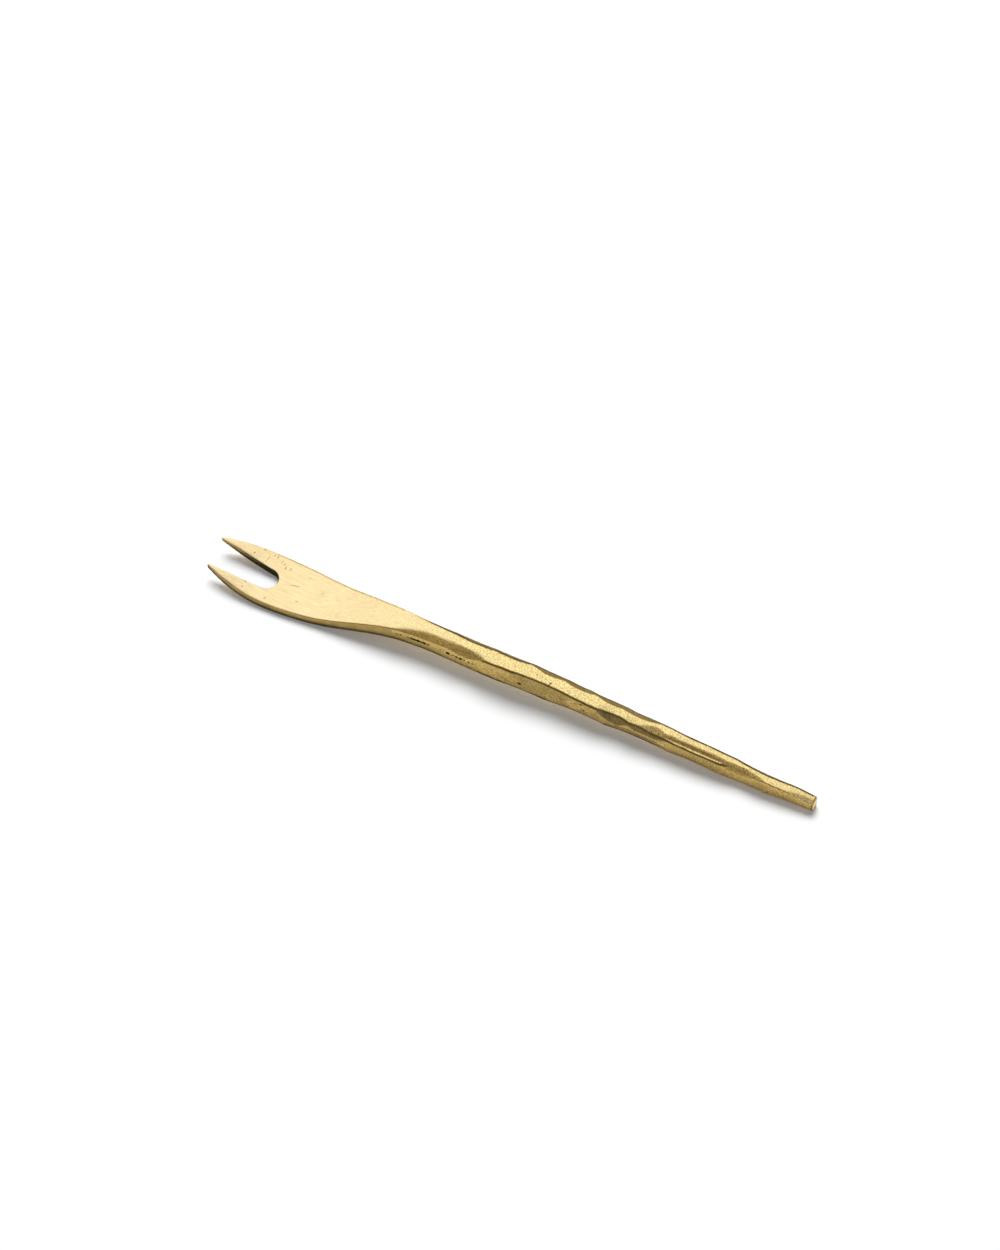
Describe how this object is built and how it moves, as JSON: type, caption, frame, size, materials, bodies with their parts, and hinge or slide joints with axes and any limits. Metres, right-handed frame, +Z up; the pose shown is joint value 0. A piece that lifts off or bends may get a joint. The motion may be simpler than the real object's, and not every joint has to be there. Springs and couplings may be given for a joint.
{
  "type": "olive fork",
  "caption": "Olive fork: a flat forked blade, bent to rest on its belly, lapped and brazed under a tapered, hand-hammered brass bar handle.",
  "frame": {"origin": "on the table, midway along the fork's length and midway across the blade", "axes": "+X from the tines to the handle end, +Y to the far side in the picture, +Z up from the table"},
  "size_m": [0.15, 0.0142, 0.0073],
  "materials": {
    "filed_brass": "filed and brushed satin",
    "hammered_brass": "hammered satin with darker ridges"
  },
  "bodies": {
    "root": {"blade": "filed_brass", "handle": "hammered_brass"}
  },
  "joints": []
}
